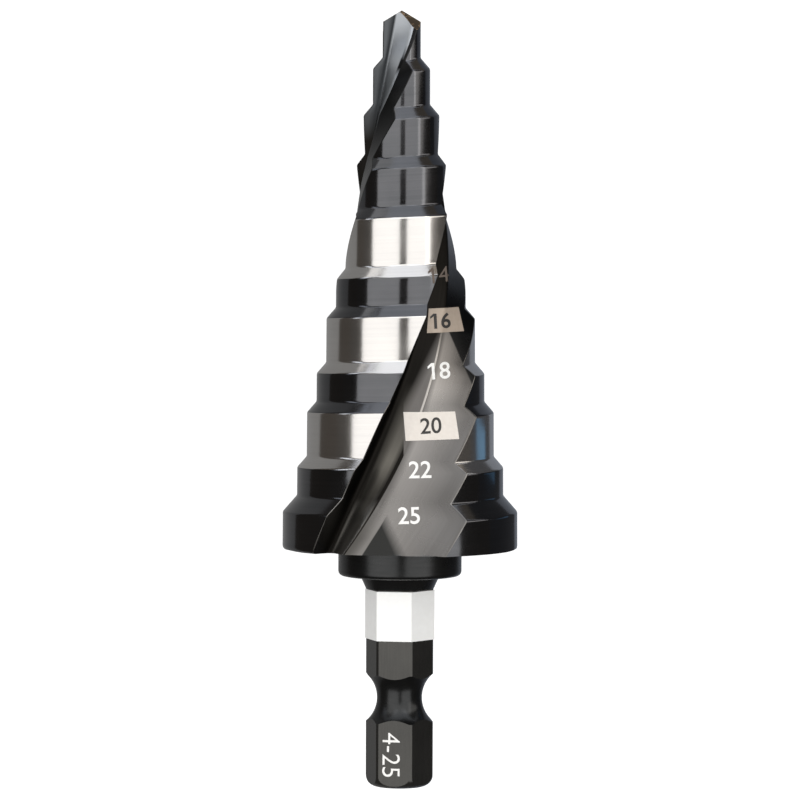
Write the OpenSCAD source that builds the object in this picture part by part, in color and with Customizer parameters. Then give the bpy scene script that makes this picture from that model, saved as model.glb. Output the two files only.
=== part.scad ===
// Cone drill bit, also called a step drill. One bar of tool steel is turned to a stepped cone with
// a collar, a neck and a hex shank, and then two spiral flutes and a drill point are ground into
// it. A thin white band is wrapped round the shank. The drill lies on its side, as on a bench: the
// lower flute faces the bench, and the shank is in the air.

/* [Steps] */
// Diameter of the first step
first_d = 4; // [3:0.5:6]
// Growth in diameter from one step to the next
step_rise = 2; // [1.5:0.1:2.4]
// Growth in diameter from the last even step to the largest one
last_rise = 3; // [2:0.25:4]
// Angle of the ramps between the steps, from the axis
ramp_angle = 41; // [35:1:50]
// Straight length of the two steps next to the point
point_step_l = 3.75; // [3:0.05:5]
// Straight length of the next two steps
small_step_l = 4.05; // [3:0.05:5]
// Straight length of the first bright step
first_bright_l = 5.1; // [4:0.1:6]
// Straight length of the other bright steps
bright_step_l = 4.7; // [4:0.1:6]
// Straight length of the dark steps between the bright ones
dark_step_l = 3; // [2.5:0.1:4]
// Straight length of the largest step
last_step_l = 4.1; // [3.5:0.1:6]
// Rounding of the rear edge of the largest step
rear_round = 0.5; // [0.2:0.1:1]

/* [Point] */
// Angle of the drill point, from side to side
point_angle = 118; // [100:1:135]
// How steeply the ground flank drops behind each lip
flank_angle = 40; // [20:1:45]
// Direction of the lips, seen from the point
lip_direction = 90; // [80:1:100]

/* [Flutes] */
// Angle between the flutes and the axis at the point
point_helix = 19; // [12:0.5:25]
// Angle between the flutes and the axis at the largest step
base_helix = 24; // [16:0.5:30]
// Direction of the upper flute's flat face at the largest step
flute_direction = -3; // [-10:1:10]
// How far the flat face runs ahead of the cutting edge's spiral, halfway along the cone
face_lead = 13; // [0:1:15]
// Angle from the cutting edge to the crease where the flat face starts
groove_span = 25; // [22:1:27]
// How much that angle closes up towards the largest step
groove_closing = 7; // [4:0.5:9]
// How much wider the groove opens at the point
point_span = 97; // [80:1:100]
// Distance of the flat face from the axis, as a share of the cone's radius there
face_share = 0.76; // [0.72:0.01:0.8]
// Thickness of the steel between the flutes at the point
point_web = 1.6; // [1.2:0.1:2]
// Thickness of the steel between the flutes at the largest step
base_web = 18; // [16:0.25:18.5]
// Angle of the cutting edge behind the spiral at the largest step
base_rake = 34; // [30:1:38]
// The same angle halfway along the cone
middle_rake = 24; // [20:1:28]
// The same angle at the point, where the flute opens out
point_rake = 83; // [70:1:90]
// Size of the rounding at the bottom of the groove, as a share of the cone's radius
groove_share = 0.1; // [0.05:0.01:0.14]

/* [Collar and neck] */
// Diameter of the collar behind the largest step
collar_d = 13; // [10:0.5:15]
// Length of the collar
collar_l = 2.9; // [2:0.1:5]
// Rounding of the collar's rear edge
collar_round = 0.5; // [0.3:0.1:1]
// Diameter of the neck at the collar
neck_d = 8.4; // [8:0.1:9.5]
// Length of the neck
neck_l = 1.4; // [1:0.1:3]

/* [Hex shank] */
// Width of the shank across its flats
hex_af = 6.35; // [6:0.05:7]
// Length of the shank
shank_l = 20.9; // [18:0.1:26]
// How much the shank's corners are eased
corner_ease = 0.09; // [0.05:0.01:0.2]
// Rounding of the shank's end
end_round = 1.2; // [0.6:0.1:1.5]
// Distance of the middle of the detent groove from the shank's end
groove_pos = 9.4; // [8:0.1:10]
// Width of the detent groove
groove_w = 5.1; // [4:0.1:5.5]
// Diameter at the bottom of the detent groove
groove_d = 4.75; // [4.5:0.05:5.5]
// Turn of the shank's flats, seen from the point
hex_turn = -10.5; // [-15:0.5:15]

/* [White band] */
// Width of the band along the shank
band_w = 5.2; // [3:0.1:5.5]
// Thickness of the band
band_t = 0.05; // [0.04:0.01:0.3]
// Distance of the band from the neck
band_gap = 0.1; // [0.05:0.05:1]

/* [Hidden] */
$fn = 96;
even_steps = 10;
small_steps = 4;
last = even_steps;
reach = 1;

// The bar, from the shank's end up
hex_corner_r = hex_af / 2 / cos(30) - corner_ease;
neck_z = shank_l;
collar_z = neck_z + neck_l;
base_z = collar_z + collar_l;
groove_depth = hex_corner_r - groove_d / 2;
groove_r = (pow(groove_w / 2, 2) + pow(groove_depth, 2)) / (2 * groove_depth);

// Radius, length and height of each step, numbered from the point
function step_r(i) = (first_d + min(i, last - 1) * step_rise + (i == last ? last_rise : 0)) / 2;
function bright(i) = i >= small_steps && i < last && (i - small_steps) % 2 == 0;
function step_l(i) =
    i == last ? last_step_l :
    i < 2 ? point_step_l :
    i < small_steps ? small_step_l :
    i == small_steps ? first_bright_l :
    bright(i) ? bright_step_l : dark_step_l;
function ramp_l(i) = (step_r(i + 1) - step_r(i)) / tan(ramp_angle);
function step_low(i) = i == last ? base_z : step_top(i + 1) + ramp_l(i);
function step_top(i) = step_low(i) + step_l(i);

point_r = step_r(0);
base_r = step_r(last);
shoulder_z = step_top(0);
tip_z = shoulder_z + point_r / tan(point_angle / 2);

// The straight cone over the steps' corners, which the flutes follow. A place along it is given
// by its radius there, and share() runs from 0 at the point to 1 at the largest step.
taper = (base_r - point_r) / (shoulder_z - step_top(last));
function cone_z(r) = shoulder_z - (r - point_r) / taper;
function cone_r(z) = point_r + (shoulder_z - z) * taper;
function share(r) = (r - point_r) / (base_r - point_r);

// Direction of the spiral that a flute follows. The tangent of the helix angle grows evenly with
// the radius, which gives a conical spiral and a small even twist on top of it.
helix_growth = (tan(base_helix) - tan(point_helix)) / (base_r - point_r);
cone_part = tan(point_helix) - helix_growth * point_r;
function spiral(r) =
    flute_direction + (cone_part * ln(base_r / r) + helix_growth * (base_r - r)) / taper * 180 / PI;
// The cutting edge lies behind the spiral, and the flute opens out towards the point
function edge(r) =
    let (u = 2 * share(r) - 1)
    spiral(r) - middle_rake
        - (u > 0 ? (base_rake - middle_rake) * u : (point_rake - middle_rake) * pow(-u, 3));
// The flat face runs a little ahead of the spiral halfway along the cone
function flat(r) =
    let (u = min(1, max(0, (share(r) - lead_start) / (lead_end - lead_start))))
    spiral(r) + face_lead * (1 - cos(360 * u)) / 2;
// The crease between the groove and the flat face. The groove opens out at the point and closes up
// at the largest step.
function crease(r) =
    edge(r) + groove_span
        + point_span * max(0, 1 - share(r) / opening_start)
        - groove_closing * pow(max(0, (share(r) - closing_start) / (1 - closing_start)), 2);
function web_r(r) = (point_web + (base_web - point_web) * share(r)) / 2;

// A point of a level section, by its radius and its direction from the front
function polar(r, a, z) = [r * sin(a), -r * cos(a), z];
function bend(a, b, c, t) = (1 - t) * (1 - t) * a + 2 * t * (1 - t) * b + t * t * c;

// Section of what the grinding wheels take out, at the place where the cone's radius is r:
// round the outside, in along the flat face, and out again along the cutting face
outside = 1.6;
face_end = 58;
lead_start = 0.15;
lead_end = 0.75;
opening_start = 0.19;
closing_start = 0.7;
outer_points = 4;
face_points = 4;
bend_points = 5;
function face_r(r, a) = face_share * r / cos(a);
function section(r) =
    let (
        z = cone_z(r),
        edge = edge(r),
        flat = flat(r),
        crease = crease(r) - flat,
        corner = polar(web_r(r), edge, z),
        crease_p = polar(face_r(r, crease), flat + crease, z),
        floor_dir = (crease_p - corner) / norm(crease_p - corner),
        fillet = groove_share * r,
        floor_p = corner + fillet * floor_dir,
        wall_p = polar(web_r(r) + fillet, edge, z)
    )
    concat(
        [for (k = [0 : outer_points - 1])
            polar(outside * r, edge + (flat + face_end - edge) * k / (outer_points - 1), z)],
        [for (k = [0 : face_points - 1])
            let (a = face_end + (crease - face_end) * k / (face_points - 1))
            polar(face_r(r, a), flat + a, z)],
        [for (k = [0 : bend_points - 1]) bend(floor_p, corner, wall_p, k / (bend_points - 1))]
    );

// The flute cut is one skin over such sections, from behind the largest step to past the point
rings = 60;
wide_end_r = cone_r(base_z - reach);
thin_end_r = cone_r(tip_z + reach);
section_points = outer_points + face_points + bend_points;

module flute_cut() {
    points = [for (i = [0 : rings])
        each section(wide_end_r * pow(thin_end_r / wide_end_r, i / rings))];
    n = section_points;
    sides = [for (i = [0 : rings - 1], j = [0 : n - 1])
        let (a = i * n + j, b = i * n + (j + 1) % n)
        each [[a, a + n, b + n], [a, b + n, b]]];
    rear = [for (j = [0 : n - 1]) j];
    front = [for (j = [n - 1 : -1 : 0]) rings * n + j];
    polyhedron(points, concat(sides, [rear, front]));
}

// The flank is a slanted plane through the tip: it falls along the lip and behind it
module flank_cut() {
    size = 4 * point_r;
    translate([0, 0, tip_z])
        rotate([0, 0, lip_direction - 90])
        rotate([0, 90 - point_angle / 2, 0])
        rotate([flank_angle, 0, 0])
        translate([-size / 2, -size / 2, 0]) cube(size);
}

module stepped_cone() {
    corners = [for (i = [last : -1 : 0]) each [[step_r(i), step_low(i)], [step_r(i), step_top(i)]]];
    upper = [for (k = [1 : len(corners) - 1]) corners[k]];
    rear = [[0, base_z], [base_r - rear_round, base_z], [base_r, base_z + rear_round]];
    rotate_extrude() {
        polygon(concat(rear, upper, [[0, tip_z]]));
        translate([base_r - rear_round, base_z + rear_round]) circle(rear_round);
    }
}

module collar_and_neck() {
    c = collar_d / 2;
    rotate_extrude() {
        polygon([
            [0, neck_z], [hex_corner_r, neck_z], [neck_d / 2, collar_z],
            [c - collar_round, collar_z], [c, collar_z + collar_round],
            [c, base_z + rear_round], [0, base_z + rear_round]
        ]);
        translate([c - collar_round, collar_z + collar_round]) circle(collar_round);
    }
}

module shank() {
    top = neck_z + neck_l / 2;
    intersection() {
        rotate([0, 0, hex_turn]) cylinder(h = top, d = hex_af / cos(30), $fn = 6);
        difference() {
            cylinder(h = top, r = hex_corner_r);
            rotate_extrude()
                translate([groove_d / 2 + groove_r, groove_pos]) circle(groove_r);
            end_rounding();
        }
    }
}

// Ring that rounds off the shank's end
module end_rounding() {
    rotate_extrude()
        difference() {
            translate([hex_corner_r - end_round, -reach])
                square([end_round + reach, end_round + reach]);
            translate([hex_corner_r - end_round, end_round]) circle(end_round);
        }
}

// The drill rests on three corners of its lower flute: the heel of the largest step and the
// cutting edges of the second and third steps before it. The plane through them is the bench.
function heel(r, z) = flat(cone_r(z)) + acos(face_share * cone_r(z) / r);
function lower_edge(i) = polar(step_r(i), edge(cone_r(step_top(i))) + 180, step_top(i));
heel_z = base_z + rear_round;
lower_heel = polar(base_r, heel(base_r, heel_z) + 180, heel_z);
across = cross(lower_edge(last - 3) - lower_heel, lower_edge(last - 2) - lower_heel);
down = across / norm(across) * sign(across.y);
bench = down * lower_heel;
rest_turn = 180 - atan2(down.x, -down.y);
rest_tilt = asin(down.z);
front_end = tip_z * cos(rest_tilt);
rear_end = (end_round - hex_corner_r) * sin(rest_tilt) - end_round * (1 - cos(rest_tilt));

module lying() {
    translate([0, -(front_end + rear_end) / 2, bench])
        rotate([-90 - rest_tilt, 0, 0])
        rotate([0, 0, rest_turn])
        children();
}

module drill_body() {
    color("#2b2c2e") lying() difference() {
        union() {
            stepped_cone();
            collar_and_neck();
            shank();
        }
        for (side = [0, 180])
            rotate([0, 0, side]) {
                flute_cut();
                flank_cut();
            }
    }
}

module label_band() {
    outer = (hex_af / 2 + band_t) / cos(30);
    color("#f4f4f2") lying() translate([0, 0, neck_z - band_gap - band_w])
        rotate([0, 0, hex_turn]) difference() {
            cylinder(h = band_w, r = outer, $fn = 6);
            translate([0, 0, -reach])
                cylinder(h = band_w + 2 * reach, d = hex_af / cos(30), $fn = 6);
        }
}

drill_body();
label_band();
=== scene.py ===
from math import atan2, cos, hypot, log, pi, radians, sin, sqrt, tan

import bmesh
import bpy
from mathutils import Euler, Matrix, Vector
from mathutils.bvhtree import BVHTree


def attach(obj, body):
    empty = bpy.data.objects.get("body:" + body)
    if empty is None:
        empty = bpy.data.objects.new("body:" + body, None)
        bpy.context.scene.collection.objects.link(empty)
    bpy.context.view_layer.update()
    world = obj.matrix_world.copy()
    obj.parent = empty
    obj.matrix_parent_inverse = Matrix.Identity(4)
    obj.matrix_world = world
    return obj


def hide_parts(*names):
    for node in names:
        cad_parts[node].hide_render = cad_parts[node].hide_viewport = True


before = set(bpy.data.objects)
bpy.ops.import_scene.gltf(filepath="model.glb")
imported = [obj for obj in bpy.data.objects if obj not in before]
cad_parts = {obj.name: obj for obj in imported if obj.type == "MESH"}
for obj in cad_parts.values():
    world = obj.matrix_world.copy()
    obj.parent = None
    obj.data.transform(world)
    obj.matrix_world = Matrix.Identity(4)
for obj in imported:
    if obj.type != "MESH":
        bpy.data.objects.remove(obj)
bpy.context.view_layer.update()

# Cutting head
# The real head is turned from a bar of high speed steel to a stepped cone. Two spiral flutes are
# ground into it, and then the lands behind the two cutting edges are backed off by relief grinding.
# The lengths are in millimetres, with the drill standing on its shank.

step_d = (4, 6, 8, 10, 12, 14, 16, 18, 20, 22, 25)
step_length = (3.75, 3.75, 4.05, 4.05, 5.1, 3.0, 4.7, 3.0, 4.7, 3.0, 4.1)
# The 12, 16 and 20 mm steps are ground bright, each with the ramp below it
bright_steps = (4, 6, 8)
ramp_angle = radians(41)
half_point_angle = radians(118 / 2)
base_z = 25.2
last = len(step_d) - 1

step_low = [base_z] * len(step_d)
step_top = [base_z + step_length[last]] * len(step_d)
for i in range(last - 1, -1, -1):
    step_low[i] = step_top[i + 1] + (step_d[i + 1] - step_d[i]) / 2 / tan(ramp_angle)
    step_top[i] = step_low[i] + step_length[i]
point_r, base_r = step_d[0] / 2, step_d[last] / 2
shoulder_z = step_top[0]
tip_z = shoulder_z + point_r / tan(half_point_angle)
taper = (base_r - point_r) / (shoulder_z - step_top[last])


def cone_r(z):
    """The radius at one height of the smooth cone that the steps follow."""
    return point_r + (shoulder_z - z) * taper


def growth(r):
    """How far the cone has grown at a radius, from 0 at the point to 1 at the base."""
    return (r - point_r) / (base_r - point_r)


# The flutes follow a conical spiral whose helix angle grows from the point to the base
helix_at_point, helix_at_base, base_turn = radians(19), radians(24), radians(-3)
helix_growth = (tan(helix_at_base) - tan(helix_at_point)) / (base_r - point_r)
helix_start = tan(helix_at_point) - helix_growth * point_r


def spiral(r):
    """The spiral's direction round the axis, where the cone has this radius."""
    return base_turn + (helix_start * log(base_r / r) + helix_growth * (base_r - r)) / taper


# The cutting edge lies behind the spiral, in degrees: this far in the middle, and further at both ends
edge_behind, more_at_base, more_at_point = 24, 10, 59


def cutting_edge(r):
    """The direction of the cutting edge."""
    u = 2 * growth(r) - 1
    more = more_at_base * u if u > 0 else more_at_point * (-u) ** 3
    return spiral(r) - radians(edge_behind + more)


# The flat face runs ahead of the spiral in a long wave, which starts 0.15 of the way down
face_lead, wave_start, wave_length = radians(13), 0.15, 0.6


def flat_face(r):
    """The direction that the flat face looks in."""
    u = min(1, max(0, (growth(r) - wave_start) / wave_length))
    return spiral(r) + face_lead * (1 - cos(2 * pi * u)) / 2


# The groove's angle from the cutting edge to the crease, in degrees. It opens out at the point, and
# closes up a little at the base.
groove_span, point_opening, base_closing = 25, 97, 7
opening_end, closing_start = 0.19, 0.7


def crease(r):
    """The direction of the crease between the groove and the flat face."""
    opening = max(0, 1 - growth(r) / opening_end)
    closing = max(0, (growth(r) - closing_start) / (1 - closing_start))
    return cutting_edge(r) + radians(groove_span + point_opening * opening - base_closing * closing**2)


# The flat face's distance from the axis, as a share of the radius. It lies deeper next to the point.
face_share, deeper_share = 0.76, 0.18
deepening_end, deepening_length = 0.34, 0.22


def face_distance(r):
    """How far the flat face lies from the axis."""
    t = min(1, max(0, (deepening_end - growth(r)) / deepening_length))
    return (face_share - deeper_share * t * t * (3 - 2 * t)) * r


def polar(r, a):
    """A place in the section. Its angle grows from the side that faces the camera to the right."""
    return Vector((r * sin(a), -r * cos(a)))


# Half of the section goes from one cutting edge over the flute and the land to the next one. This
# is how many columns of faces each part of it has.
columns = {"lip": 1, "wall": 5, "bend": 8, "floor": 6, "crease": 3, "face": 26, "heel": 1, "land": 52}
half_ring = sum(columns.values())
stations = [(part, k / count) for part, count in columns.items() for k in range(count)]
# The groove's corner, which leaves the web between the flutes, and its bend as a share of the radius
web_at_point, web_growth, bend_share = 0.8, 8.2, 0.1
edge_bevel, crease_round = 0.07, 0.22
# Behind a cutting edge the land drops by a share of its radius, and its corners sink by some tenths
# of a millimetre, while it goes round by the relief's angle
relief, relief_drop, relief_angle = 0.022, 0.45, radians(100)


def flute(z, rim_r):
    """The flute's corners at one height: wall, groove corner, floor, crease, heel and directions."""
    r = cone_r(z)
    edge, flat, web = cutting_edge(r), flat_face(r), web_at_point + web_growth * growth(r)
    corner = polar(web, edge)
    crease_a = crease(r) - flat
    crease_p = polar(face_distance(r) / cos(crease_a), crease_a + flat)
    along_floor = (crease_p - corner).normalized()
    floor_start = corner + along_floor * bend_share * r
    if crease_p.length < rim_r - edge_bevel * 2:
        along_face = polar(1, flat + pi / 2)
        heel_p = polar(face_distance(r), flat) + along_face * sqrt(rim_r**2 - face_distance(r) ** 2)
    else:
        # next to the point the groove's floor runs out through the land, with no flat face
        along_face = along_floor
        ahead = floor_start.dot(along_floor)
        to_rim = sqrt(ahead**2 + rim_r**2 - floor_start.length_squared) - ahead
        heel_p = floor_start + along_floor * to_rim
        crease_p = heel_p - along_floor * edge_bevel * 2
    heel_a = atan2(heel_p.x, -heel_p.y)
    heel_a += 2 * pi * round((flat - heel_a) / (2 * pi))
    wall_end = polar(web + bend_share * r, edge)
    return edge, wall_end, corner, floor_start, crease_p, heel_p, heel_a, along_floor, along_face


def heel_share(row_z, row_r):
    """How far the heel lies behind the next cutting edge, as a share of the relief's angle."""
    share = 1.0
    # the heel's place and its drop depend on each other, and settle in a few rounds
    for _ in range(4):
        heel_a = flute(row_z - relief_drop * share, row_r * (1 - relief * share))[6]
        share = (cutting_edge(cone_r(row_z)) + pi - heel_a) / relief_angle
    return share


def section_point(part, t, row_z, row_r, share):
    """A point of the half section: how far along its part, and the profile's height and radius."""
    if part == "lip":
        radius, back = (row_r, edge_bevel / row_r) if t < 0.5 else (row_r - edge_bevel, 0)
        return polar(radius, cutting_edge(cone_r(row_z)) - back), row_z
    behind = share * {"face": t, "heel": 1, "land": 1 - t}.get(part, 0)
    z = row_z - relief_drop * behind
    edge, wall_end, corner, floor_start, crease_p, heel_p, heel_a, along_floor, along_face = flute(
        z, row_r * (1 - relief * share)
    )
    if part == "wall":
        return polar(row_r - edge_bevel, edge).lerp(wall_end, t), z
    if part == "bend":
        return (1 - t) ** 2 * wall_end + 2 * t * (1 - t) * corner + t * t * floor_start, z
    size = min(crease_round, (crease_p - floor_start).length / 3, (heel_p - crease_p).length / 3)
    if part == "floor":
        return floor_start.lerp(crease_p - along_floor * size, t), z
    if part == "crease":
        start, end = crease_p - along_floor * size, crease_p + along_face * size
        return (1 - t) ** 2 * start + 2 * t * (1 - t) * crease_p + t * t * end, z
    bevel = min(edge_bevel, size)
    if part == "face":
        return (crease_p + along_face * size).lerp(heel_p - along_face * bevel, t), z
    if part == "heel" and t < 0.5:
        return heel_p - along_face * bevel, z
    a, end = heel_a + bevel / row_r, cutting_edge(cone_r(row_z)) + pi
    if part == "land":
        a = max(a, end - edge_bevel / row_r - land_span * (1 - t))
    behind = (end - a) / relief_angle
    return polar(row_r * (1 - relief * behind), a), row_z - relief_drop * behind


# The turned profile, with its corners a little rounded, is the list of the head's rows. It ends some
# way under the shoulder, where the slanted point begins.
base_round, corner_round, point_depth = 0.5, 0.14, 2.4
profile = bmesh.new()
corners = [(base_r - base_round, base_z), (base_r, base_z)]
for i in range(last, -1, -1):
    corners += [(step_d[i] / 2, step_low[i])] * (i != last) + [(step_d[i] / 2, step_top[i])]
corners[-1] = (point_r, shoulder_z - point_depth)
line = [profile.verts.new((r, 0, z)) for r, z in corners]
for pair in zip(line, line[1:]):
    profile.edges.new(pair)
bmesh.ops.bevel(
    profile, geom=[line[1]], offset=base_round, segments=4, profile=0.5, affect="VERTICES", material=-1
)
turned = [v for v in line if v.is_valid and len(v.link_edges) == 2 and v.co.z > base_z + 1]
bmesh.ops.bevel(
    profile, geom=turned, offset=corner_round, segments=4, profile=0.5, affect="VERTICES", material=-1
)
profile_points = sorted((v.co.z, v.co.x) for v in profile.verts)
profile.free()

# Between the profile's points the rows lie this far apart, with one close to each corner
row_gap, support, doubled = 0.5, 0.07, 0.01
rows = []
for (z0, r0), (z1, r1) in zip(profile_points, profile_points[1:]):
    length = hypot(z1 - z0, r1 - r0)
    if length < doubled:
        continue
    rows.append((z0, r0))
    if length > 4 * support:
        inner = max(1, round((length - 2 * support) / row_gap))
        for k in range(inner + 1):
            u = (support + (length - 2 * support) * k / inner) / length
            rows.append((z0 + (z1 - z0) * u, r0 + (r1 - r0) * u))
rows.append(profile_points[-1])

# A grid is wrapped round the head, with its own map: the share of the way round, and the height
head = bmesh.new()
point_rows = 6
around, upwards = 2 * half_ring, len(rows) - 1 + point_rows
bmesh.ops.create_grid(head, x_segments=around, y_segments=upwards, size=1, calc_uvs=True)
wrap = head.loops.layers.uv.verify()
place = {}
for v in head.verts:
    place[v] = (round((v.co.x + 1) / 2 * around), round((v.co.y + 1) / 2 * upwards))


def land_finish(k):
    """What a row of faces on the lands is: bright on a bright step and the ramp below it, or dark."""
    z = (rows[k][0] + rows[k + 1][0]) / 2 if k + 1 < len(rows) else shoulder_z
    step = next((i for i in range(last) if z > step_top[i + 1]), last)
    return "bright" if step in bright_steps else "dark"


finishes = ("dark", "bright", "face", "groove", "edge", "point")
for f in head.faces:
    spots = [place[v] for v in f.verts]
    column, row = min(s[0] for s in spots), min(s[1] for s in spots)
    part = stations[column % half_ring][0]
    if part == "land":
        f.material_index = finishes.index(land_finish(row))
    elif part in ("lip", "heel"):
        f.material_index = finishes.index("edge")
    else:
        f.material_index = finishes.index("face" if part == "face" else "groove")
    for loop in f.loops:
        c, r = place[loop.vert]
        loop[wrap].uv = (c / around, rows[r][0] if r < len(rows) else tip_z)

# The way that a flank of the point faces: tilted back from its cutting lip, at the point's angle
flank_relief = radians(40)
flank_n = Euler((flank_relief, pi / 2 - half_point_angle, 0)).to_matrix() @ Vector((0, 0, 1))


def roof(spot):
    """Height of the drill point: two slanted flanks through the tip, under the 118 degree cone."""
    flank = abs(flank_n.x * spot.x + flank_n.y * spot.y) / flank_n.z
    return tip_z - max(flank, spot.length / tan(half_point_angle))


heel_shares = [heel_share(z, r) for z, r in rows]
land_span = max(heel_shares) * relief_angle
# Each column of the point goes up to where it meets the roof
under_roof = []
for part, t in stations:
    z = tip_z
    for _ in range(30):
        spot, spot_z = section_point(part, t, z, point_r, heel_share(z, point_r))
        z -= spot_z - roof(spot)
    under_roof.append(z)
for v, (column, row) in place.items():
    part, t = stations[column % half_ring]
    if row < len(rows):
        spot, z = section_point(part, t, *rows[row], heel_shares[row])
    else:
        share = (row - len(rows) + 1) / point_rows
        z = rows[-1][0] + (under_roof[column % half_ring] - rows[-1][0]) * share
        spot, z = section_point(part, t, z, point_r, heel_share(z, point_r))
    turn = -1 if (column // half_ring) % 2 else 1
    v.co = (turn * spot.x, turn * spot.y, max(z, base_z))

# A second map looks at each flute from its front, in millimetres
front_map = head.loops.layers.uv.new("front")
for f in head.faces:
    turn = -1 if min(place[v][0] for v in f.verts) >= half_ring else 1
    for loop in f.loops:
        loop[front_map].uv = (turn * loop.vert.co.x, loop.vert.co.z)
bmesh.ops.remove_doubles(head, verts=head.verts, dist=1e-5)

# The roof over the point is cut along the lines where the flanks and the cone meet, and raised
top_z = shoulder_z - 2 * point_depth
open_edges = [e for e in head.edges if e.is_boundary and e.verts[0].co.z > top_z]
cap = bmesh.ops.holes_fill(head, edges=open_edges, sides=0)["faces"]
cap = bmesh.ops.triangulate(head, faces=cap)["faces"]
for f in cap:
    f.material_index = finishes.index("point")
roof_cuts = 7
for k in range(roof_cuts):
    a = 2 * atan2(flank_n.x, -flank_n.y) * k / (roof_cuts - 1)
    parts = cap + list({e for f in cap for e in f.edges}) + list({v for f in cap for v in f.verts})
    bmesh.ops.bisect_plane(
        head, geom=parts, dist=1e-6, plane_co=(0, 0, 0), plane_no=(-sin(a), cos(a), 0)
    )
    cap = [f for f in head.faces if f.material_index == finishes.index("point")]
for v in {v for f in cap for v in f.verts}:
    v.co.z = roof(v.co.xy)
open_edges = [e for e in head.edges if e.is_boundary]
bmesh.ops.holes_fill(head, edges=open_edges, sides=0)
bmesh.ops.recalc_face_normals(head, faces=head.faces)
# All is shaded smooth but the flat base, up to the angle of the eased edges
for f in head.faces:
    f.smooth = len(f.verts) <= 6
for e in head.edges:
    e.smooth = len(e.link_faces) == 2 and e.calc_face_angle() < radians(26)
# The standing head is kept for the size marks, which are laid on it
front = BVHTree.FromBMesh(head)

# How the drill lies: on three corners of its lower flute, with its point down by 8.7 degrees
shank_end = Vector((0, -0.0401895, 0.0154967))
tipped, rolled = radians(-98.65588), radians(-6.429)
lying = Matrix.Translation(shank_end) @ Matrix.Rotation(tipped, 4, "X") @ Matrix.Rotation(rolled, 4, "Z")


def finish_piece(name, mesh, materials):
    """Lays a standing piece down, in metres, and makes it an object that rides with the drill."""
    bmesh.ops.transform(mesh, matrix=lying @ Matrix.Scale(0.001, 4), verts=mesh.verts)
    data = bpy.data.meshes.new(name)
    mesh.to_mesh(data)
    mesh.free()
    for m in materials:
        data.materials.append(m)
    piece = bpy.data.objects.new(name, data)
    bpy.context.scene.collection.objects.link(piece)
    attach(piece, "root")
    return piece


def srgb(code):
    """The linear colour of an sRGB hex value."""
    parts = [int(code[k : k + 2], 16) / 255 for k in (0, 2, 4)]
    return tuple(p / 12.92 if p <= 0.04045 else ((p + 0.055) / 1.055) ** 2.4 for p in parts) + (1,)


def material(name):
    """An empty material, and its node tree."""
    m = bpy.data.materials.new(name)
    m.use_nodes = True
    m.node_tree.nodes.clear()
    return m.node_tree, m


def node(tree, kind, settings=None, inputs=None, links=None):
    """Adds a node with its settings, its inputs' values and its links from other nodes."""
    n = tree.nodes.new(kind)
    for key, value in (settings or {}).items():
        setattr(n, key, value)
    for key, value in (inputs or {}).items():
        n.inputs[key].default_value = value
    for key, (source, output) in (links or {}).items():
        tree.links.new(source.outputs[output], n.inputs[key])
    return n


def steel(name, colours, rough, grain, bump, metallic=1.0):
    """Steel with its turning or grinding lines, and a mottle in its colour and gloss.

    The lines are noise that is stretched along them: grain is how many there are in one unit of
    the piece's map, each way. A mottle of 260 to the metre gives patches of about 4 mm.
    """
    tree, m = material(name)
    uv = node(tree, "ShaderNodeUVMap")
    stretched = node(tree, "ShaderNodeMapping", inputs={"Scale": grain}, links={"Vector": (uv, "UV")})
    noise = {"Scale": 1, "Detail": 3}
    lines = node(tree, "ShaderNodeTexNoise", inputs=noise, links={"Vector": (stretched, "Vector")})
    spot = node(tree, "ShaderNodeTexCoord")
    noise = {"Scale": 260, "Detail": 4}
    mottle = node(tree, "ShaderNodeTexNoise", inputs=noise, links={"Vector": (spot, "Object")})
    tone = node(tree, "ShaderNodeMath", {"operation": "ADD"}, links={0: (mottle, 0), 1: (lines, 0)})
    spread = {"From Min": 0.6, "From Max": 1.4}
    tone = node(tree, "ShaderNodeMapRange", inputs=spread, links={"Value": (tone, 0)})
    ends = {6: srgb(colours[0]), 7: srgb(colours[1])}
    colour = node(tree, "ShaderNodeMix", {"data_type": "RGBA"}, ends, {0: (tone, 0)})
    spread = {"From Min": 0.25, "From Max": 0.75, "To Min": rough[0], "To Max": rough[1]}
    gloss = node(tree, "ShaderNodeMapRange", inputs=spread, links={"Value": (mottle, 0)})
    depth = {"Strength": bump, "Distance": 0.00001}
    height = node(tree, "ShaderNodeBump", inputs=depth, links={"Height": (lines, 0)})
    looks = {"Base Color": (colour, 2), "Roughness": (gloss, 0), "Normal": (height, 0)}
    shader = node(tree, "ShaderNodeBsdfPrincipled", inputs={"Metallic": metallic}, links=looks)
    node(tree, "ShaderNodeOutputMaterial", links={"Surface": (shader, "BSDF")})
    return tree, m, uv, (colour, 2), shader


# The dark steps: turned steel with a glossy black oxide finish. The lathe's feed leaves faint rings.
# Real feed lines are about 0.05 mm apart; here they are 0.25 mm, so that they still show.
black_turned = steel("black_oxide_turned", ("525355", "5e5e60"), (0.11, 0.15), (0.5, 4, 1), 0.1)[1]
# The bright steps: the relief wheel has ground the black finish off and left clean warm steel with
# fine lines round the step. Real ones are some hundredths of a millimetre apart, and these 0.2 mm.
bright_ground = steel("relief_ground_steel", ("c6c3c0", "d0cdc9"), (0.14, 0.19), (0.7, 5, 1), 0.16)[1]


def flute_measures(tree, uv):
    """What a flute's marks are placed by: the share of half a turn behind the cutting edge, and mm up."""
    split = node(tree, "ShaderNodeSeparateXYZ", links={0: (uv, "UV")})
    twice = node(tree, "ShaderNodeMath", {"operation": "MULTIPLY"}, {1: 2}, {0: (split, "X")})
    across = node(tree, "ShaderNodeMath", {"operation": "FRACT"}, links={0: (twice, 0)})
    return (across, 0), (split, "Y")


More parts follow.
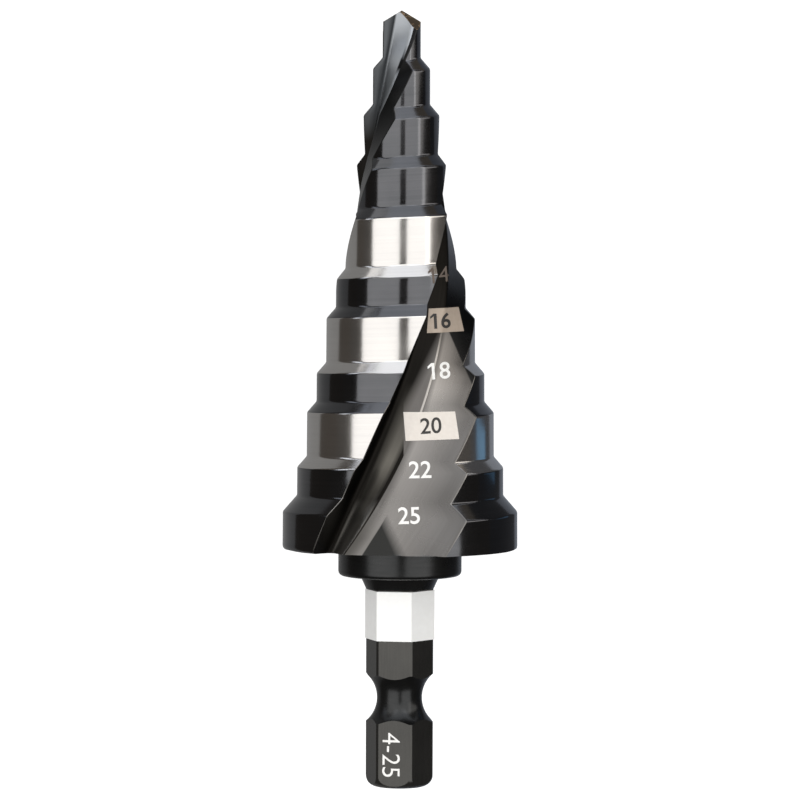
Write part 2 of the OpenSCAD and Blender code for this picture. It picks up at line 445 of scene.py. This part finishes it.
def seen_along(tree, way):
    """How far a spot lies in a direction, as its flute is seen from the front, in mm."""
    seen = node(tree, "ShaderNodeUVMap", {"uv_map": "front"})
    dot = {"operation": "DOT_PRODUCT"}
    return node(tree, "ShaderNodeVectorMath", dot, {1: (*way, 0)}, {0: (seen, "UV")}), "Value"


def within(tree, limits, join="MULTIPLY"):
    """A mask that is one inside all the limits. Each is a measure, and where it fades in."""
    mask = None
    for measure, start, full in limits:
        ends = {"From Min": start, "From Max": full}
        fade = node(tree, "ShaderNodeMapRange", inputs=ends, links={"Value": measure})
        if mask:
            fade = node(tree, "ShaderNodeMath", {"operation": join}, links={0: mask, 1: (fade, 0)})
        mask = (fade, 0)
    return mask


def coated(tree, colour, coats, blend="MIX"):
    """The colour under coats of other ones, each as strong as its mask."""
    settings = {"data_type": "RGBA", "blend_type": blend}
    for code, mask in coats:
        colour = (node(tree, "ShaderNodeMix", settings, {7: srgb(code)}, {0: mask, 6: colour}), 2)
    return colour


def show_colour(tree, shader, colour):
    """Makes a colour the one that the shader shows."""
    tree.links.new(colour[0].outputs[colour[1]], shader.inputs["Base Color"])


def low_painted_shade(tree):
    """Where painted shade darkens the flute at its lower end. The patch fades to the right."""
    left_side = (seen_along(tree, (0.844, -0.536)), -16.87, -16.77)
    right_side = (seen_along(tree, (-0.907, -0.421)), -11.3, -10.1)
    return within(tree, [left_side, right_side], "MINIMUM")


# The flat face: ground steel, satin grey, with the wheel's lines running along the flute, 0.2 mm apart
# here. Painted shade makes it black above the 16 mm plate, darker towards the heel and the crease,
# dark beyond a slanted line at the corner below the 16 mm plate, and darker at its foot and lower end.
tree, flat_ground, uv, colour, shader = steel(
    "flute_face_ground", ("7a7774", "84817e"), (0.25, 0.31), (260, 0.12, 1), 0.1
)
across, level = flute_measures(tree, uv)
# Painted shade: darker towards the heel and towards the crease
heel_shade = within(tree, [(across, 0.26, 0.44)])
crease_shade = within(tree, [(across, 0.26, 0.225)])
colour = coated(tree, colour, [("b0b0b0", heel_shade), ("bcbcbc", crease_shade)], "MULTIPLY")
# Painted shade: dark beyond a slanted line at the corner below the 16 mm plate
corner_shade = within(tree, [(seen_along(tree, (0.914, 0.406)), 24.06, 24.2)])
# Painted shade: darker at the face's foot, next to the crease
foot_painted_tone = within(tree, [(level, 30, 27), (across, 0.29, 0.23)])
# Painted shade: black above the 16 mm plate
painted_black_top = within(tree, [(level, 48.2, 48.5)])
coats = [("252525", corner_shade), ("4a4845", foot_painted_tone), ("2d2d2c", low_painted_shade(tree)), ("1b1b1b", painted_black_top)]
show_colour(tree, shader, coated(tree, colour, coats))

# The groove: burnt black by the narrow wheel, with brown in it and lines 0.25 mm apart. A painted
# reflection makes its floor lighter from 43 mm down, and more so at its foot. Below the 16 mm step a
# patch of painted light lies on it, with a thin painted highlight along the crease, and painted shade at
# its lower end.
tree, groove_black, uv, colour, shader = steel(
    "groove_black", ("141311", "1c1a18"), (0.32, 0.42), (200, 0.15, 1), 0.2
)
across, level = flute_measures(tree, uv)
# Painted reflection: the floor is lighter from 43 mm down
floor_highlight = within(tree, [(across, 0.12, 0.16), (across, 0.2, 0.18), (level, 43, 35)])
# Painted highlight: lighter still at the groove's foot
foot_painted_tone = within(tree, [(level, 31, 27.5), (across, 0.1, 0.16), (across, 0.216, 0.2)])
# Painted light: a lit patch on the groove below the 16 mm step, right of a slanted line
right_of_lit_edge = (seen_along(tree, (0.896, -0.444)), -17.95, -16.9)
right_of_axis = (seen_along(tree, (1, 0)), 0.3, 0.4)
painted_lit_patch = within(tree, [right_of_lit_edge, right_of_axis, (level, 48.5, 48.2)], "MINIMUM")
# Painted highlight: a thin bright line along the crease
ridge_highlight = within(tree, [(across, 0.208, 0.214), (painted_lit_patch, 0, 1), (level, 37.4, 38.4)])
coats = [("605d57", floor_highlight), ("a5a19a", foot_painted_tone), ("5b5855", painted_lit_patch), ("a09c97", ridge_highlight)]
# Painted shade at the groove's lower end, as on the flat face
coats.append(("2d2d2c", low_painted_shade(tree)))
groove_and_painted_light = coated(tree, colour, coats)
# Near the point the groove is painted as grey steel, a painted reflection that is lightest on its floor
# and darker in its bend. Beside the 4 mm step painted shade leaves a black wedge along the groove's
# right-hand rim.
bend_shade = within(tree, [(across, 0.03, 0.06)])
ends = {6: srgb("525456"), 7: srgb("2f3133")}
point_reflection = node(tree, "ShaderNodeMix", {"data_type": "RGBA"}, ends, {0: bend_shade})
floor_sheen = within(tree, [(across, 0.085, 0.13)])
rim_shade = within(tree, [(across, 0.193, 0.2), (level, 74.8, 75.6), (level, 78, 76.4)])
point_reflection = coated(tree, (point_reflection, 2), [("94979a", floor_sheen), ("161616", rim_shade)])
reflection_near_point = within(tree, [(level, 68, 72)])
both = node(tree, "ShaderNodeMix", {"data_type": "RGBA"}, links={0: reflection_near_point, 6: groove_and_painted_light, 7: point_reflection})
show_colour(tree, shader, (both, 2))

# The edges: the finish is worn off in stretches of about 2 mm, so they catch the light as thin
# broken lines. Near the point painted shade makes them dark.
tree, edge_worn, uv, colour, shader = steel(
    "worn_edge", ("2c2b2a", "8f8c88"), (0.25, 0.35), (1, 0.5, 1), 0.1
)
split = node(tree, "ShaderNodeSeparateXYZ", links={0: (uv, "UV")})
edge_shade_near_point = within(tree, [((split, "Y"), 58, 66)])
show_colour(tree, shader, coated(tree, colour, [("242424", edge_shade_near_point)]))

# The flanks of the point: ground last of all, brownish and specked by the wheel's heat. The specks
# are about 0.3 mm across.
tree, flank_ground, uv, colour, shader = steel(
    "ground_flank", ("51483d", "7a7063"), (0.3, 0.4), (60, 12, 1), 0.3
)
seen = node(tree, "ShaderNodeUVMap", {"uv_map": "front"})
noise = {"Scale": 3.5, "Detail": 2}
heat = node(tree, "ShaderNodeTexNoise", {"noise_dimensions": "2D"}, noise, {"Vector": (seen, "UV")})
specks = within(tree, [((heat, 0), 0.54, 0.62)])
show_colour(tree, shader, coated(tree, colour, [("b29a80", specks)]))

head_finishes = [black_turned, bright_ground, flat_ground, groove_black, edge_worn, flank_ground]
cutting_head = finish_piece("cutting_head", head, head_finishes)
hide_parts("drill_body")

# Collar and neck
# Behind the largest step the same steel bar is turned down to a round collar, and then to a short
# neck that narrows to the shank. Both keep the black finish of the turned steps.

collar_r, collar_low, collar_top, rim_round = 6.5, 22.3, 25.9, 0.5
neck_r, neck_low = 3.5, 20.9
# The neck is a short cone, eased where it starts and where it meets the collar
neck = [(0, neck_low), (neck_r, neck_low), (3.576, 20.93)]
neck += [(4.12, 22.13), (4.2, 22.24), (4.36, collar_low)]
rim = []
for k in range(5):
    a = pi / 2 * k / 4
    rim.append((collar_r - rim_round * (1 - sin(a)), collar_low + rim_round * (1 - cos(a))))
collar_side = [(collar_r, collar_top - 0.9), (collar_r, collar_top), (0, collar_top)]


def turned_solid(outline, steps):
    """A solid turned round the axis, from its outline of radius and height."""
    solid = bmesh.new()
    line = [solid.verts.new((r, 0, z)) for r, z in outline]
    edges = [solid.edges.new(pair) for pair in zip(line, line[1:])]
    full_turn = {"steps": steps, "angle": 2 * pi, "use_merge": True, "use_duplicate": False}
    bmesh.ops.spin(solid, geom=line + edges, axis=(0, 0, 1), cent=(0, 0, 0), **full_turn)
    bmesh.ops.remove_doubles(solid, verts=solid.verts, dist=1e-5)
    bmesh.ops.recalc_face_normals(solid, faces=solid.faces)
    return solid


def shade_smooth(mesh, sharp):
    """Shades all faces smooth, but keeps the edges that are sharper than the angle."""
    for f in mesh.faces:
        f.smooth = True
    for e in mesh.edges:
        e.smooth = e.calc_face_angle(0) < sharp


def map_round(mesh):
    """The map of a standing piece: millimetres round a bar of 12 mm, and height in millimetres."""
    bar_r = 6
    layer = mesh.loops.layers.uv.verify()
    for f in mesh.faces:
        middle = f.calc_center_median()
        face_a = atan2(middle.x, -middle.y)
        for loop in f.loops:
            a = atan2(loop.vert.co.x, -loop.vert.co.y)
            a += 2 * pi * round((face_a - a) / (2 * pi))
            loop[layer].uv = (a * bar_r, loop.vert.co.z)


collar = turned_solid(neck + rim + collar_side, 96)
shade_smooth(collar, radians(30))
map_round(collar)
# The same black oxide on turned steel, with rings 0.25 mm apart, but duller and deeper, since
# nothing rubs there
black_collar = steel("black_oxide_collar", ("2f3030", "3b3b3b"), (0.22, 0.3), (0.5, 4, 1), 0.25, 0.9)[1]
collar_piece = finish_piece("collar_and_neck", collar, [black_collar])
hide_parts("drill_body")

# Hex shank
# The other end of the bar is a 1/4 inch hexagon, with a rounded end and a round groove that the ball
# of a quick-change chuck snaps into. It is drawn steel under the black finish, and one with the neck.

across_flats, shank_top, end_round = 6.35, 21.3, 1.2
# The front flat looks this far to the left, and the hexagon's corners are turned off by 0.09 mm
hex_turn = radians(-10.5)
corner_r = across_flats / 2 / cos(radians(30)) - 0.09
detent_z, detent_w, detent_r, detent_rim = 9.4, 5.1, 4.75 / 2, 0.05
detent_depth = corner_r - detent_r
arc_r = ((detent_w / 2) ** 2 + detent_depth**2) / (2 * detent_depth)
arc_half = atan2(detent_w / 2, arc_r - detent_depth)
outline = [(0, 0)]
for k in range(9):
    a = pi / 2 * k / 8
    outline.append((corner_r - end_round + end_round * sin(a), end_round - end_round * cos(a)))
outline.append((corner_r, detent_z - detent_w / 2 - detent_rim))
for k in range(33):
    a = -arc_half + 2 * arc_half * k / 32
    outline.append((detent_r + arc_r - arc_r * cos(a), detent_z + arc_r * sin(a)))
outline += [(corner_r, detent_z + detent_w / 2 + detent_rim), (corner_r, shank_top), (0, shank_top)]
shank = turned_solid(outline, 180)
# The turned groove takes the collar's darker finish as painted shade, and the rest the shank's own
for f in shank.faces:
    f.material_index = int(abs(f.calc_center_median().z - detent_z) < detent_w / 2)
for k in range(6):
    a = hex_turn + radians(60 * k)
    n = Vector((sin(a), -cos(a), 0))
    everything = shank.verts[:] + shank.edges[:] + shank.faces[:]
    cut = bmesh.ops.bisect_plane(
        shank, geom=everything, plane_co=n * across_flats / 2, plane_no=n, clear_outer=True
    )
    rim = [g for g in cut["geom_cut"] if isinstance(g, bmesh.types.BMEdge) and g.is_boundary]
    for f in bmesh.ops.holes_fill(shank, edges=rim, sides=0)["faces"]:
        f.material_index = 0
shade_smooth(shank, radians(14))
map_round(shank)
# The standing shank is kept for the size range, which is laid on it
shank_front = BVHTree.FromBMesh(shank)
# Drawn hexagonal bar under the black finish: satin, with faint drawing lines along the flats. Real
# ones are hair-fine, and these are 0.25 mm apart.
black_dull = steel("black_oxide_shank", ("3d3c3a", "494845"), (0.2, 0.28), (4, 0.3, 1), 0.15, 0.8)[1]
shank_piece = finish_piece("hex_shank", shank, [black_dull, black_collar])
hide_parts("drill_body")

# White band
# A strip of thin white plastic film is wrapped round the shank, just under the neck, and holds by its
# own glue. Its two ends meet with a hairline gap, in the middle of a flat at the back.

band_low, band_height, film, film_gap = 15.6, 5.2, 0.05, 0.16
band_r = across_flats / 2 + film
seam = hex_turn + pi
strip = [polar(band_r, seam) + polar(film_gap / 2, seam + pi / 2)]
for k in range(3, 9):
    strip.append(polar(band_r / cos(radians(30)), hex_turn + radians(30 + 60 * k)))
strip.append(polar(band_r, seam) - polar(film_gap / 2, seam + pi / 2))
band = bmesh.new()
line = [band.verts.new((q.x, q.y, band_low)) for q in strip]
edges = [band.edges.new(pair) for pair in zip(line, line[1:])]
lifted = bmesh.ops.extrude_edge_only(band, edges=edges)["geom"]
raised = [g for g in lifted if isinstance(g, bmesh.types.BMVert)]
bmesh.ops.translate(band, verts=raised, vec=(0, 0, band_height))
bmesh.ops.recalc_face_normals(band, faces=band.faces)
wall = band.faces[:][0]
if wall.normal.dot(wall.calc_center_median() * Vector((1, 1, 0))) < 0:
    bmesh.ops.reverse_faces(band, faces=band.faces)
# It stays a thousandth of a millimetre clear of the steel
bmesh.ops.solidify(band, geom=band.faces[:], thickness=film - 0.001)

# Polypropylene film: white and softly glossy, with a faint mottle of about 0.7 mm from its glue
tree, white = material("white_film")
spot = node(tree, "ShaderNodeTexCoord")
noise = {"Scale": 1500, "Detail": 3}
mottle = node(tree, "ShaderNodeTexNoise", inputs=noise, links={"Vector": (spot, "Object")})
ends = {6: srgb("efeeeb"), 7: srgb("f8f8f6")}
tone = node(tree, "ShaderNodeMix", {"data_type": "RGBA"}, ends, {0: (mottle, 0)})
faint = {"Strength": 0.15, "Distance": 0.00001}
height = node(tree, "ShaderNodeBump", inputs=faint, links={"Height": (mottle, 0)})
looks = {"Base Color": (tone, 2), "Normal": (height, 0)}
shader = node(tree, "ShaderNodeBsdfPrincipled", inputs={"Roughness": 0.35}, links=looks)
node(tree, "ShaderNodeOutputMaterial", links={"Surface": (shader, "BSDF")})
band_piece = finish_piece("white_band", band, [white])
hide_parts("label_band")

# Size marks
# A laser writes each step's size in the flute next to it: white on the black steps, and dark on a
# cleaned bright plate on the bright ones. The size range is on the shank. Each mark is a layer on the
# steel, up to 0.03 mm proud, that follows what is under it.

mark_depth = 0.03


def lay_on(mesh, surface, proud):
    """Moves a mesh from its drawing, x and z in mm, back on to the steel and makes it a layer."""
    for v in mesh.verts:
        spot = surface.ray_cast(Vector((v.co.x, -40, v.co.z)), Vector((0, 1, 0)))[0]
        v.co.y = spot.y - proud
    lower = bmesh.ops.extrude_face_region(mesh, geom=mesh.faces[:])["geom"]
    sunk = [g for g in lower if isinstance(g, bmesh.types.BMVert)]
    bmesh.ops.translate(mesh, verts=sunk, vec=(0, mark_depth, 0))
    bmesh.ops.recalc_face_normals(mesh, faces=mesh.faces)


# The plates' corners in their drawing: upper left, upper right, lower right and lower left
straw_corners = ((2.91, 50.56), (6.05, 50.67), (6.62, 48.16), (2.72, 48.03))
pale_corners = ((0.3, 39.91), (5.67, 39.93), (6.1, 37.11), (0.55, 36.97))
plate_proud = 0.012


def plate(corners):
    """A cleaned patch of the steel between four corners, fine enough to follow the flute."""
    mesh = bmesh.new()
    bmesh.ops.create_grid(mesh, x_segments=28, y_segments=14, size=1)
    upper_left, upper_right, lower_right, lower_left = (Vector(q) for q in corners)
    for v in mesh.verts:
        u, w = (v.co.x + 1) / 2, (v.co.y + 1) / 2
        q = lower_left.lerp(lower_right, u).lerp(upper_left.lerp(upper_right, u), w)
        v.co = (q.x, 0, q.y)
    lay_on(mesh, front, plate_proud)
    return mesh


def add_flag(mesh, low, high):
    """Gives the font's plain stroke for a leading 1 its slanted flag."""
    tall, top = high.y - low.y, high.y
    left = min(v.co.x for v in mesh.verts if v.co.x < low.x + 0.3 * tall)
    flag = [(left, top), (left - 0.24 * tall, top - 0.2 * tall)]
    flag += [(left - 0.24 * tall, top - 0.34 * tall), (left, top - 0.19 * tall)]
    mesh.faces.new([mesh.verts.new((*corner, 0)) for corner in flag])


# The letters are cut up this finely before they are laid on, so that they follow the crease
letter_cell, letter_cells = 0.13, 22


def write(surface, text, x, z, height, tilt, weight, proud):
    """A short text as a layer on the steel: its middle, height and tilt, its strokes' added weight."""
    curve = bpy.data.curves.new("mark_" + text, "FONT")
    curve.body, curve.offset, curve.resolution_u = text, weight, 6
    letters = bpy.data.objects.new("mark_" + text, curve)
    bpy.context.scene.collection.objects.link(letters)
    flat = letters.evaluated_get(bpy.context.evaluated_depsgraph_get())
    data = bpy.data.meshes.new_from_object(flat)
    bpy.data.objects.remove(letters)
    mesh = bmesh.new()
    mesh.from_mesh(data)
    bmesh.ops.remove_doubles(mesh, verts=mesh.verts, dist=1e-5)
    low = Vector([min(v.co[k] for v in mesh.verts) for k in range(2)])
    high = Vector([max(v.co[k] for v in mesh.verts) for k in range(2)])
    middle, scale = (low + high) / 2, height / (high.y - low.y)
    if text[0] == "1":
        add_flag(mesh, low, high)
    for v in mesh.verts:
        q = Matrix.Rotation(radians(tilt), 2) @ ((v.co.xy - middle) * scale)
        v.co = (x + q.x, 0, z + q.y)
    bmesh.ops.triangulate(mesh, faces=mesh.faces)
    for k in range(-letter_cells, letter_cells + 1):
        across_cut = ((x + letter_cell * k, 0, 0), (1, 0, 0))
        level_cut = ((0, 0, z + letter_cell * k), (0, 0, 1))
        for spot, way in (across_cut, level_cut):
            everything = mesh.verts[:] + mesh.edges[:] + mesh.faces[:]
            bmesh.ops.bisect_plane(mesh, geom=everything, plane_co=spot, plane_no=way)
    bmesh.ops.remove_doubles(mesh, verts=mesh.verts, dist=0.004)
    bmesh.ops.dissolve_degenerate(mesh, edges=mesh.edges, dist=0.004)
    bmesh.ops.triangulate(mesh, faces=mesh.faces)
    lay_on(mesh, surface, proud)
    return mesh


def lasered(name, dark, light, metallic, rough):
    """A lasered layer: matt, with the beam's grain. Real spots are 0.05 mm, and these are 0.4 mm."""
    tree, m = material(name)
    spot = node(tree, "ShaderNodeTexCoord")
    noise = {"Scale": 2500, "Detail": 2}
    grain = node(tree, "ShaderNodeTexNoise", inputs=noise, links={"Vector": (spot, "Object")})
    ends = {6: srgb(dark), 7: srgb(light)}
    tone = node(tree, "ShaderNodeMix", {"data_type": "RGBA"}, ends, {0: (grain, 0)})
    finish = {"Metallic": metallic, "Roughness": rough}
    shader = node(tree, "ShaderNodeBsdfPrincipled", inputs=finish, links={"Base Color": (tone, 2)})
    node(tree, "ShaderNodeOutputMaterial", links={"Surface": (shader, "BSDF")})
    return m


def gather(name, meshes, m):
    """Joins meshes into one piece that rides with the drill."""
    whole = bmesh.new()
    for mesh in meshes:
        data = bpy.data.meshes.new(name)
        mesh.to_mesh(data)
        mesh.free()
        whole.from_mesh(data)
    return finish_piece(name, whole, [m])


# Laser cleaning leaves the bare steel pale and matt, and the smaller plate straw coloured by its heat
tinted_steel = lasered("laser_tinted_steel", "a39484", "b3a495", 0.15, 0.5)
gather("straw_plate", [plate(straw_corners)], tinted_steel)
cleaned_steel = lasered("laser_cleaned_steel", "cfc7be", "dcd5cd", 0.15, 0.45)
gather("pale_plate", [plate(pale_corners)], cleaned_steel)

# Burnt marks are brown-black and matt. The 14 runs over the groove's edge, and is only faint.
sixteen = write(front, "16", 4.33, 49.3, 1.62, 3, 0.02, 0.03)
twenty = write(front, "20", 3.16, 38.51, 1.65, 3, 0.012, 0.022)
gather("dark_numbers", [sixteen, twenty], lasered("laser_burnt_mark", "201e1c", "312e2b", 0.0, 0.6))
fourteen = write(front, "14", 4.12, 54.07, 1.6, 6, 0.0, 0.01)
gather("faint_number", [fourteen], lasered("faint_mark", "4a4038", "6b5d52", 0.0, 0.6))

# White marks are a matt oxide that the beam raises on the black finish
white_marks = [
    write(front, "18", 4.2, 44.15, 1.75, 4, 0.012, 0.012),
    write(front, "22", 2.05, 34.02, 1.75, 1, 0.012, 0.012),
    write(front, "25", 0.92, 29.33, 1.75, 2, 0.012, 0.012),
    write(shank_front, "4-25", -0.86, 3.66, 1.85, -90, -0.004, 0.012),
]
gather("white_numbers", white_marks, lasered("laser_white_mark", "e4e2de", "f6f5f2", 0.0, 0.5))

# Floor, light and camera
# The drill lies on a plain pale floor under two long softboxes. Round it stand a dark tent and a few
# cards that show only in the polished steel, as the things in a studio do. The lengths are in metres.

floor_mesh = bmesh.new()
bmesh.ops.create_grid(floor_mesh, x_segments=1, y_segments=1, size=3)
floor_data = bpy.data.meshes.new("floor")
floor_mesh.to_mesh(floor_data)
floor_mesh.free()
floor = bpy.data.objects.new("floor", floor_data)
bpy.context.scene.collection.objects.link(floor)


def seen_rays(tree):
    """One for the rays that are seen: straight from the camera, in a reflection or through glass."""
    path = node(tree, "ShaderNodeLightPath")
    either = {"operation": "MAXIMUM"}
    seen = node(
        tree, "ShaderNodeMath", either, links={0: (path, "Is Camera Ray"), 1: (path, "Is Glossy Ray")}
    )
    return node(tree, "ShaderNodeMath", either, links={0: (seen, 0), 1: (path, "Is Transmission Ray")})


# Pale seamless paper, which keeps the drill's soft shadow
tree, paper = material("pale_floor")
times = {"operation": "MULTIPLY"}
glow = node(tree, "ShaderNodeMath", times, inputs={1: 0.85}, links={0: (seen_rays(tree), 0)})
matte = node(tree, "ShaderNodeBsdfDiffuse", inputs={"Color": srgb("a0a0a0")})
light = node(tree, "ShaderNodeEmission", links={"Strength": (glow, 0)})
both = node(tree, "ShaderNodeAddShader", links={0: (matte, 0), 1: (light, 0)})
node(tree, "ShaderNodeOutputMaterial", links={"Surface": (both, 0)})
floor_data.materials.append(paper)

# The studio's walls are seen as white, and light the drill faintly
world = bpy.data.worlds.new("studio")
bpy.context.scene.world = world
world.use_nodes = True
tree = world.node_tree
tree.nodes.clear()
levels = {"To Min": 0.3, "To Max": 1.0}
strength = node(tree, "ShaderNodeMapRange", inputs=levels, links={"Value": (seen_rays(tree), 0)})
back = node(tree, "ShaderNodeBackground", inputs={"Color": (1, 1, 1, 1)}, links={"Strength": (strength, 0)})
node(tree, "ShaderNodeOutputWorld", links={"Surface": (back, 0)})

softbox_distance, softbox_length, softbox_level = 0.7, 1.2, 1.25


def softbox(name, azimuth, half_width):
    """A softbox along the drill's axis: its direction round the axis, and half the angle it fills."""
    lamp = bpy.data.lights.new(name, "AREA")
    lamp.shape = "RECTANGLE"
    lamp.size, lamp.size_y = 2 * softbox_distance * tan(radians(half_width)), softbox_length
    lamp.energy = softbox_level * 4 * lamp.size * softbox_length
    holder = bpy.data.objects.new(name, lamp)
    bpy.context.scene.collection.objects.link(holder)
    along = Vector((0, 0, 1))
    out = polar(1, radians(azimuth)).to_3d()
    spot = out * softbox_distance + along * 0.045
    facing = Matrix((out.cross(along), along, -out)).transposed().to_4x4()
    holder.matrix_world = lying @ Matrix.Translation(spot) @ facing @ Matrix.Rotation(pi, 4, "Y")
    holder.visible_camera = False


softbox("left_softbox", -33, 29)
softbox("right_softbox", 35, 25)


def reflector(name, mesh, colour, glow):
    """A studio card that only shows in the metal's reflections."""
    bmesh.ops.recalc_face_normals(mesh, faces=mesh.faces)
    data = bpy.data.meshes.new(name)
    mesh.to_mesh(data)
    mesh.free()
    tree, m = material(name)
    shader = node(tree, "ShaderNodeEmission", inputs={"Color": srgb(colour), "Strength": glow})
    node(tree, "ShaderNodeOutputMaterial", links={"Surface": (shader, "Emission")})
    data.materials.append(m)
    piece = bpy.data.objects.new(name, data)
    bpy.context.scene.collection.objects.link(piece)
    piece.visible_camera = piece.visible_diffuse = False
    piece.visible_shadow = piece.visible_transmission = False


# A dark tent over the bench keeps the black finish black between the softboxes
tent = bmesh.new()
tent_r, tent_length = 0.95, 2.4
hoop = {"segments": 64, "radius1": tent_r, "radius2": tent_r, "depth": tent_length}
bmesh.ops.create_cone(tent, cap_ends=True, cap_tris=False, **hoop)
bmesh.ops.rotate(tent, verts=tent.verts, cent=(0, 0, 0), matrix=Matrix.Rotation(pi / 2, 3, "X"))
everything = tent.verts[:] + tent.edges[:] + tent.faces[:]
bmesh.ops.bisect_plane(tent, geom=everything, plane_co=(0, 0, 0), plane_no=(0, 0, -1), clear_outer=True)
reflector("dark_tent", tent, "fff6ee", 0.08)


def card(name, corners, colour, glow):
    """A flat card with the given corners."""
    mesh = bmesh.new()
    mesh.faces.new([mesh.verts.new(c) for c in corners])
    reflector(name, mesh, colour, glow)


def on_bench(name, x0, x1, y0, y1, colour, glow, z=0.0002):
    """A card that lies on the bench."""
    card(name, [(x0, y0, z), (x1, y0, z), (x1, y1, z), (x0, y1, z)], colour, glow)


# Grey cards close to the drill light the sides of its steps from below, with dark ones beyond them
on_bench("left_bench_card", -0.030, 0.0, -1.2, 0.038, "ffffff", 0.29)
on_bench("left_dark_card", -0.95, -0.030, -1.2, 1.2, "fff2e6", 0.08)
on_bench("right_bench_card", 0.0, 0.022, -1.2, 0.05, "e8f0ff", 0.3)
on_bench("right_dark_card", 0.022, 0.95, -1.2, 1.2, "f4f6ff", 0.08)
# A blue glint on the drill's right-hand side, a warm one by its point, and the bright bench ahead
second_layer = 0.0005
on_bench("blue_card", 0.032, 0.09, -0.0115, -0.0055, "7297b8", 1.0, second_layer)
on_bench("brown_card", 0.0, 0.09, 0.042, 0.09, "fff0dc", 0.3, second_layer)
on_bench("front_bench_card", -0.3, 0.35, 0.095, 0.7, "f4f8ff", 1.5, second_layer)
# White cards for the polished groove at the point, on its left and straight ahead
left_wedge = [(-0.04, 0.056, 0.0006), (-0.95, 0.27, 0.0006), (-0.95, 0.8, 0.0006), (-0.03, 0.075, 0.0006)]
card("left_point_card", left_wedge, "eef4ff", 1.5)
left_wall = [(-0.94, 0.27, 0), (-0.94, 0.8, 0), (-0.94, 0.8, 0.14), (-0.94, 0.27, 0.14)]
card("left_point_wall", left_wall, "eef4ff", 1.5)
far_wall = [(-0.45, 0.7, 0), (0.45, 0.7, 0), (0.45, 0.7, 0.9), (-0.45, 0.7, 0.9)]
card("point_wall", far_wall, "f4f8ff", 1.5)
# A slanted card for the ground face of the flute
right_slant = [(0.6, 0.09, 0), (0.6, 0.165, 0), (0.6, 0.79, 0.6), (0.6, 0.09, 0.6)]
card("right_face_card", right_slant, "fffaf4", 1.6)
# A card between the softboxes, hung in line with the drill
bridge = [(-0.046, -0.65, 0.105), (0.115, -0.65, 0.105), (0.115, -0.65, 0.65), (-0.046, -0.65, 0.65)]
card("bridge_card", [lying @ Vector(c) for c in bridge], "ffffff", 1.6)

# The camera stands in front of the upright drill, a little above its middle
camera = bpy.data.objects.new("camera", bpy.data.cameras.new("camera"))
bpy.context.scene.collection.objects.link(camera)
stand, aim = Vector((0, -0.44, 0.0618)), Vector((0, 0, 0.0408))
view_width, lean = 0.0842, radians(0.2)
looking = (aim - stand).to_track_quat("-Z", "Y").to_matrix().to_4x4()
camera.matrix_world = lying @ Matrix.Translation(stand) @ looking @ Matrix.Rotation(lean, 4, "Z")
camera.data.lens = camera.data.sensor_width * (aim - stand).length / view_width
camera.data.shift_x = -0.0006
camera.data.clip_start, camera.data.clip_end = 0.01, 20
bpy.context.scene.camera = camera
bpy.context.scene.view_settings.view_transform = "Standard"
